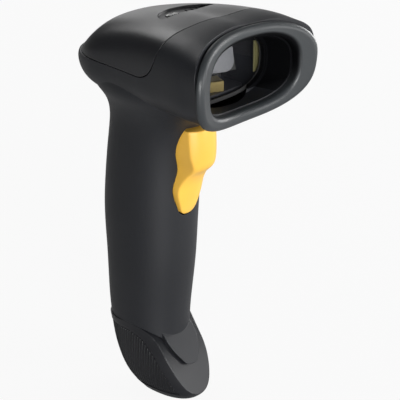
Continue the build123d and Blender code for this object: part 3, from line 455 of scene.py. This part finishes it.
def circuit_board(name):
    """Solder mask over tracks that show as slightly raised, paler lines."""
    material, tree, shade = new_material(name)
    bricks = tree.nodes.new("ShaderNodeTexBrick")
    bricks.inputs["Scale"].default_value = TRACK_SCALE
    bricks.inputs["Mortar Size"].default_value = TRACK_WIDTH
    upright = tree.nodes.new("ShaderNodeMapping")
    upright.inputs["Rotation"].default_value = (radians(90), 0, 0)
    tree.links.new(object_place(tree), upright.inputs["Vector"])
    tree.links.new(upright.outputs["Vector"], bricks.inputs["Vector"])
    tracks = bricks.outputs["Fac"]
    tree.links.new(blend_colours(tree, tracks, MASK_GREEN, TRACK_GREEN),
                   shade.inputs["Base Color"])
    shade.inputs["Roughness"].default_value = MASK_ROUGHNESS
    add_bump(tree, shade, tracks, TRACK_BUMP, TRACK_RISE)
    return material


# ---- finishes ---------------------------------------------------------------
MOULDED = {
    "housing_black": dict(colour=(0.0115, 0.0125, 0.0155), worn=(0.04, 0.041, 0.046),
                          roughness=0.5, grain=2600.0, bump=0.2, specular=0.45),
    "cover_black": dict(colour=(0.0095, 0.010, 0.0125), worn=(0.04, 0.04, 0.045),
                        roughness=0.38, grain=2800.0, bump=0.14, specular=0.55),
    "boot_black": dict(colour=(0.0095, 0.010, 0.0125), worn=(0.035, 0.036, 0.04),
                       roughness=0.36, grain=2600.0, bump=0.16),
    "rib_black": dict(colour=(0.0055, 0.006, 0.0075), worn=(0.014, 0.014, 0.017),
                      roughness=0.5, grain=2600.0, bump=0.16),
    "bumper_grey": dict(colour=(0.030, 0.034, 0.037), worn=(0.08, 0.085, 0.09),
                        roughness=0.41, grain=1900.0, bump=0.2, wear=0.35),
    "trigger_yellow": dict(colour=(0.95, 0.52, 0.075), worn=(1.0, 0.62, 0.14),
                           roughness=0.36, grain=2400.0, bump=0.1, wear=0.15,
                           edge=TRIGGER_ROUND),
    "seal_black": dict(colour=(0.02, 0.02, 0.02), worn=(0.05, 0.05, 0.05),
                       roughness=0.8, wear=0.1),
    "inner_black": dict(colour=(0.022, 0.022, 0.024), worn=(0.05, 0.05, 0.05),
                        roughness=0.5, wear=0.1),
    "plunger_white": dict(colour=(0.8, 0.8, 0.77), worn=(0.9, 0.9, 0.88),
                          roughness=0.4, wear=0.1),
    "connector_ivory": dict(colour=(0.72, 0.66, 0.5), worn=(0.8, 0.75, 0.6),
                            roughness=0.5, wear=0.1),
    "ribbon_white": dict(colour=(0.76, 0.76, 0.74), worn=(0.85, 0.85, 0.84),
                         roughness=0.42, wear=0.1),
    "chassis_grey": dict(colour=(0.035, 0.036, 0.042), worn=(0.12, 0.12, 0.13),
                         roughness=0.5, grain=1500.0),
    "mirror_carrier": dict(colour=(0.03, 0.03, 0.028), worn=(0.08, 0.08, 0.07),
                           roughness=0.5),
    "clip_olive": dict(colour=(0.2, 0.185, 0.075), worn=(0.34, 0.32, 0.17),
                       roughness=0.42, wear=0.3),
}
METALS = {
    "bright_steel": dict(colour=(0.62, 0.62, 0.64), roughness=0.3, lines=(1, 1, 0.1)),
    "zinc_plate": dict(colour=(0.52, 0.53, 0.55), roughness=0.38),
    "turned_brass": dict(colour=(0.60, 0.47, 0.19), roughness=0.34, lines=(0.05, 1, 1),
                         bump=0.25),
    "plated_gold": dict(colour=(0.86, 0.62, 0.24), roughness=0.25),
    "enamelled_copper": dict(colour=(0.62, 0.28, 0.13), roughness=0.35, lines=(1, 1, 8),
                             bump=0.5),
    "dish_coat": dict(colour=(0.2, 0.21, 0.2), roughness=0.3, bump=0.02),
    "silvered_plate": dict(colour=(0.28, 0.285, 0.30), roughness=0.5, bump=0.02),
}
CLEAR = {
    "window_pane": dict(colour=(0.02, 0.021, 0.025), roughness=0.03, alpha=0.14),
    "indicator_frost": dict(colour=(0.86, 0.9, 0.86), roughness=0.25),
}


def make_finishes():
    """Every finish of the object, by its name."""
    finishes = {"board_green": circuit_board("board_green")}
    for make, looks in ((moulded, MOULDED), (metal, METALS), (clear, CLEAR)):
        for name, look in looks.items():
            finishes[name] = make(name, **look)
    # painted shade in the mouth, on the housing and on the bumper
    paint_mouth_shade(finishes["housing_black"])
    paint_mouth_shade(finishes["bumper_grey"])
    return finishes


NODE_FINISH = {
    "housing": "housing_black", "top_cover": "cover_black", "boot": "boot_black",
    "bumper": "bumper_grey", "window_seal": "seal_black", "scan_window": "window_pane",
    "trigger": "trigger_yellow", "trigger_pin": "bright_steel",
    "trigger_spring": "bright_steel", "trigger_switch": "inner_black",
    "switch_plunger": "plunger_white", "board_carrier": "inner_black",
    "main_board": "board_green", "engine_board": "board_green", "jack_board": "board_green",
    "decoder_chip": "inner_black", "board_connector": "connector_ivory",
    "engine_connector": "connector_ivory", "cable_jack": "inner_black",
    "jack_contacts": "plated_gold", "laser_module": "turned_brass",
    "engine_chassis": "chassis_grey", "scan_mirror": "mirror_carrier",
    "collector_mirror": "dish_coat", "drive_coil": "enamelled_copper",
    "photodetector": "inner_black", "ribbon_cable": "ribbon_white",
    "status_lens": "indicator_frost", "beeper": "inner_black",
    "window_clip_1": "clip_olive", "window_clip_2": "clip_olive",
}


def finish_cad_nodes(finishes):
    """Gives every CAD node its finish; the screws are all zinc plated."""
    for name, part in nodes.items():
        material = finishes["zinc_plate" if "screw" in name else NODE_FINISH[name]]
        if not part.material_slots:
            part.data.materials.append(material)
        for place in part.material_slots:
            place.material = material


# ---- pieces made here -------------------------------------------------------
def only(piece):
    """Selects one object and nothing else."""
    bpy.ops.object.select_all(action="DESELECT")
    piece.select_set(True)
    bpy.context.view_layer.objects.active = piece


def settle():
    """Puts the active object's place into its mesh."""
    bpy.ops.object.transform_apply(location=True, rotation=True, scale=True)


def pick(kind, test):
    """In edit mode, selects only the edges or faces that pass a test of them and their
    middle."""
    bpy.ops.mesh.select_mode(type=kind)
    bpy.ops.mesh.select_all(action="DESELECT")
    mesh = bpy.context.object.data
    form = bmesh.from_edit_mesh(mesh)
    for part in {"EDGE": form.edges, "FACE": form.faces}[kind]:
        points = [vertex.co for vertex in part.verts]
        if test(part, sum(points, Vector()) / len(points)):
            part.select_set(True)
    form.select_flush_mode()
    bmesh.update_edit_mesh(mesh)


def modifier(piece, kind, **values):
    """Adds a modifier with the given settings and applies it; the piece stays selected."""
    only(piece)
    added = piece.modifiers.new(kind.lower(), kind)
    for label, value in values.items():
        setattr(added, label, value)
    bpy.ops.object.modifier_apply(modifier=added.name)


def hand_over(piece, name, material, body):
    """Names a finished piece, gives it its finish and lets it ride on its body."""
    piece.name = piece.data.name = name
    piece.data.materials.clear()
    piece.data.materials.append(material)
    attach(piece, body)


RIBS_ROUND = 104         # ribs that would go round the whole boot
RIB_LINES = 5            # lines of points to one pitch: three strips of rib and a gap of two
CREST_LINES = (1, 2)     # those on the rib's crest
RIB_ROWS = 44            # cuts across each rib's height
RIB_RISE = 0.2 * MM
RIB_WALL = 0.4 * MM
# the ribs start as an upright oval tube round the boot
TUBE_HALF_X = 30.0 * MM
TUBE_INSET_Y = 0.6 * MM  # inside the boot's ends
TUBE_HALF_Z, TUBE_MIDDLE_Z = 13.5 * MM, 16.0 * MM
TUBE_MISSED = 0.1 * MM   # a point that moved less than this found no boot to land on
# upper edge of the ribbed panel seen from the side: y and z in millimetres, back to toe
PANEL_EDGE = ((14.6, 27.8), (5.6, 28.0), (-1.4, 25.6), (-7.2, 20.0), (-12.6, 11.8),
              (-18.0, 1.4), (-21.4, -5.6))
PANEL_START = 6.0 * MM   # the panel begins this far from the middle
PANEL_FOOT = 3.0 * MM
PANEL_BORDER = 0.35 * MM


def panel_top(y):
    """Height of the panel's upper edge at y."""
    edge = [(edge_y * MM, edge_z * MM) for edge_y, edge_z in PANEL_EDGE]
    if y >= edge[0][0]:
        return edge[0][1]
    for (y1, z1), (y0, z0) in zip(edge, edge[1:]):
        if y >= y0:
            return z0 + (z1 - z0) * (y - y0) / (y1 - y0)
    return edge[-1][1]


def rib_tube(boot_low, boot_high):
    """Open oval tube round the boot, in RIB_ROWS + 1 rings. Each point knows the number of
    its line within the pitch, and its first x."""
    middle_y = (boot_high.y + boot_low.y) / 2
    half_y = (boot_high.y - boot_low.y) / 2 - TUBE_INSET_Y
    bpy.ops.object.select_all(action="DESELECT")
    bpy.ops.mesh.primitive_cylinder_add(vertices=RIBS_ROUND * RIB_LINES, radius=1.0,
                                        depth=2.0, end_fill_type="NOTHING")
    tube = bpy.context.object
    tube.scale = (TUBE_HALF_X, half_y, TUBE_HALF_Z)
    tube.location = (0, middle_y, TUBE_MIDDLE_Z)
    settle()
    bpy.ops.object.mode_set(mode="EDIT")
    pick("EDGE", lambda edge, middle: abs(edge.verts[0].co.z - edge.verts[1].co.z) > MM)
    bpy.ops.mesh.subdivide(number_cuts=RIB_ROWS)
    bpy.ops.object.mode_set(mode="OBJECT")
    tube.data.attributes.new("line", "INT", "POINT")
    tube.data.attributes.new("start", "FLOAT", "POINT")
    # fetched only now: a new attribute moves the ones before it
    line, start = (tube.data.attributes[label] for label in ("line", "start"))
    for number, first, vertex in zip(line.data, start.data, tube.data.vertices):
        turn = atan2(vertex.co.x / TUBE_HALF_X, (vertex.co.y - middle_y) / half_y)
        number.value = round(turn / (2 * pi) * RIBS_ROUND * RIB_LINES) % RIB_LINES
        first.value = vertex.co.x
    return tube


def flank_ribs(finish):
    """Fine upright ribs that fill the sunken panel on each flank of the boot."""
    low, high = (Vector(corner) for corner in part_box("boot"))
    half_x = (high.x - low.x) / 2
    ribs = rib_tube(low, high)
    modifier(ribs, "SHRINKWRAP", target=nodes["boot"], wrap_method="PROJECT",
             use_project_x=True, use_project_y=False, use_project_z=False,
             use_positive_direction=True, use_negative_direction=True)

    def on_panel(place):
        return (PANEL_START + PANEL_BORDER < abs(place.x) < half_x
                and PANEL_FOOT + PANEL_BORDER < place.z < panel_top(place.y) - PANEL_BORDER)

    bpy.ops.object.mode_set(mode="EDIT")
    form = bmesh.from_edit_mesh(ribs.data)
    number, first = form.verts.layers.int["line"], form.verts.layers.float["start"]

    def in_gap(face):
        return any(vertex[number] == RIB_LINES - 1 for vertex in face.verts)

    def landed(face):
        return all(on_panel(vertex.co) and abs(vertex.co.x - vertex[first]) > TUBE_MISSED
                   for vertex in face.verts)

    pick("FACE", lambda face, middle: in_gap(face) or not landed(face))
    bpy.ops.mesh.delete(type="FACE")
    bpy.ops.object.mode_set(mode="OBJECT")
    crest = ribs.vertex_groups.new(name="crest")
    crest.add([index for index, value in enumerate(ribs.data.attributes["line"].data)
               if value.value in CREST_LINES], 1.0, "REPLACE")
    modifier(ribs, "DISPLACE", strength=RIB_RISE, mid_level=0.0, vertex_group="crest")
    ribs.vertex_groups.clear()
    for label in ("line", "start"):
        ribs.data.attributes.remove(ribs.data.attributes[label])
    modifier(ribs, "SOLIDIFY", thickness=RIB_WALL, offset=-1.0)
    bpy.ops.object.shade_smooth()
    hand_over(ribs, "flank_ribs", finish, "scanner")


MIRROR_TURN, MIRROR_TILT = radians(-26), radians(-12)    # as the carrier stands at rest
MIRROR_MIDDLE = Vector((0, -2.95 * MM, 3.7 * MM))        # its front face, from the axis
GLASS_SIZE = (12.4 * MM, 0.5 * MM, 9.4 * MM)
GLASS_STAND = 0.27 * MM                  # its middle, in front of the carrier's face
# side in x, side in z, radius and steps of each rounded corner
GLASS_CORNERS = ((1, -1, 4.0 * MM, 10), (-1, -1, 1.0 * MM, 4),
                 (1, 1, 1.0 * MM, 4), (-1, 1, 1.0 * MM, 4))
GLASS_BEVEL = 0.12 * MM
CORNER_X, CORNER_Z = 5 * MM, 3.5 * MM    # an edge past both is a corner's
CORNER_Y = 0.1 * MM                      # if its middle is this near to the plate's
GLASS_FRONT_Y = -0.2 * MM                # edges before this are the front face's


def mirror_glass(finish):
    """Silvered plate on the front of the turning mirror carrier."""
    bpy.ops.object.select_all(action="DESELECT")
    bpy.ops.mesh.primitive_cube_add(size=1.0)
    plate = bpy.context.object
    plate.scale = GLASS_SIZE
    settle()
    bpy.ops.object.mode_set(mode="EDIT")
    for side_x, side_z, radius, steps in GLASS_CORNERS:
        pick("EDGE", lambda edge, middle: middle.x * side_x > CORNER_X
             and middle.z * side_z > CORNER_Z and abs(middle.y) < CORNER_Y)
        bpy.ops.mesh.bevel(offset=radius, segments=steps)
    pick("EDGE", lambda edge, middle: all(v.co.y < GLASS_FRONT_Y for v in edge.verts))
    bpy.ops.mesh.bevel(offset=GLASS_BEVEL, segments=2)
    bpy.ops.object.mode_set(mode="OBJECT")
    axis = Vector(joints["mirror_scan"]["pos_m"])
    plate.matrix_world = (Matrix.Translation(axis) @ Matrix.Rotation(MIRROR_TURN, 4, "Z")
                          @ Matrix.Translation(MIRROR_MIDDLE)
                          @ Matrix.Rotation(MIRROR_TILT, 4, "X")
                          @ Matrix.Translation((0, -GLASS_STAND, 0)))
    settle()
    modifier(plate, "WEIGHTED_NORMAL")
    hand_over(plate, "mirror_glass", finish, "mirror")


LIP_SIZE = (0.8 * MM, 20.0 * MM, 10.0 * MM)
LIP_MIDDLE = (23.76 * MM, -17.0 * MM, 143.0 * MM)        # just inside the right flank
LIP_TURN = radians(8.4)                  # the flank's own slant
LIP_ROUND = 0.25 * MM


def seam_lips(finish):
    """Dark tongues behind the cover's shut line, which keep light out of the optics."""
    bpy.ops.object.select_all(action="DESELECT")
    bpy.ops.mesh.primitive_cube_add(size=1.0, location=LIP_MIDDLE, rotation=(0, 0, LIP_TURN))
    lip = bpy.context.object
    lip.scale = LIP_SIZE
    settle()
    bpy.ops.object.mode_set(mode="EDIT")
    bpy.ops.mesh.select_all(action="SELECT")
    bpy.ops.mesh.bevel(offset=LIP_ROUND, segments=3)
    bpy.ops.object.mode_set(mode="OBJECT")
    modifier(lip, "WEIGHTED_NORMAL")
    bpy.ops.object.duplicate()
    other = bpy.context.object
    other.scale.x = -1
    settle()
    bpy.ops.object.mode_set(mode="EDIT")
    bpy.ops.mesh.select_all(action="SELECT")
    bpy.ops.mesh.normals_make_consistent(inside=False)
    bpy.ops.object.mode_set(mode="OBJECT")
    hand_over(lip, "seam_lip_1", finish, "scanner")
    hand_over(other, "seam_lip_2", finish, "scanner")


SPRING_TURNS = 6
SPRING_WIRE = 0.35 * MM                  # radius of the wire
SPRING_SIDES = 12                        # round the wire
SPRING_STEPS = 28                        # round one turn
SPRING_CREASE = radians(50)              # only the cut ends of the wire are sharper
WELD = 0.001 * MM


def return_spring(finish):
    """Coil behind the trigger's upper end, in place of the CAD spring, which is hidden."""
    low, high = (Vector(corner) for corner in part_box("trigger_spring"))
    middle = (low + high) / 2
    rise = (high.y - low.y - 2 * SPRING_WIRE) / SPRING_TURNS
    bpy.ops.object.select_all(action="DESELECT")
    bpy.ops.mesh.primitive_circle_add(vertices=SPRING_SIDES, radius=SPRING_WIRE,
                                      location=(high.x - middle.x - SPRING_WIRE, 0, 0))
    coil = bpy.context.object
    settle()
    modifier(coil, "SCREW", axis="Y", angle=2 * pi, screw_offset=rise,
             iterations=SPRING_TURNS, steps=SPRING_STEPS, render_steps=SPRING_STEPS)
    coil.location = (middle.x, low.y + SPRING_WIRE, middle.z)
    settle()
    bpy.ops.object.mode_set(mode="EDIT")
    bpy.ops.mesh.select_all(action="SELECT")
    bpy.ops.mesh.remove_doubles(threshold=WELD)
    pick("EDGE", lambda edge, middle: edge.is_boundary)
    bpy.ops.mesh.edge_face_add()
    bpy.ops.mesh.select_all(action="SELECT")
    bpy.ops.mesh.normals_make_consistent(inside=False)
    bpy.ops.object.mode_set(mode="OBJECT")
    bpy.ops.object.shade_smooth_by_angle(angle=SPRING_CREASE)
    hand_over(coil, "return_spring", finish, "scanner")
    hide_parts("trigger_spring")
    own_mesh(coil)


place_camera()
build_studio()
finishes = make_finishes()
finish_cad_nodes(finishes)
flank_ribs(finishes["rib_black"])
mirror_glass(finishes["silvered_plate"])
seam_lips(finishes["inner_black"])
return_spring(finishes["bright_steel"])
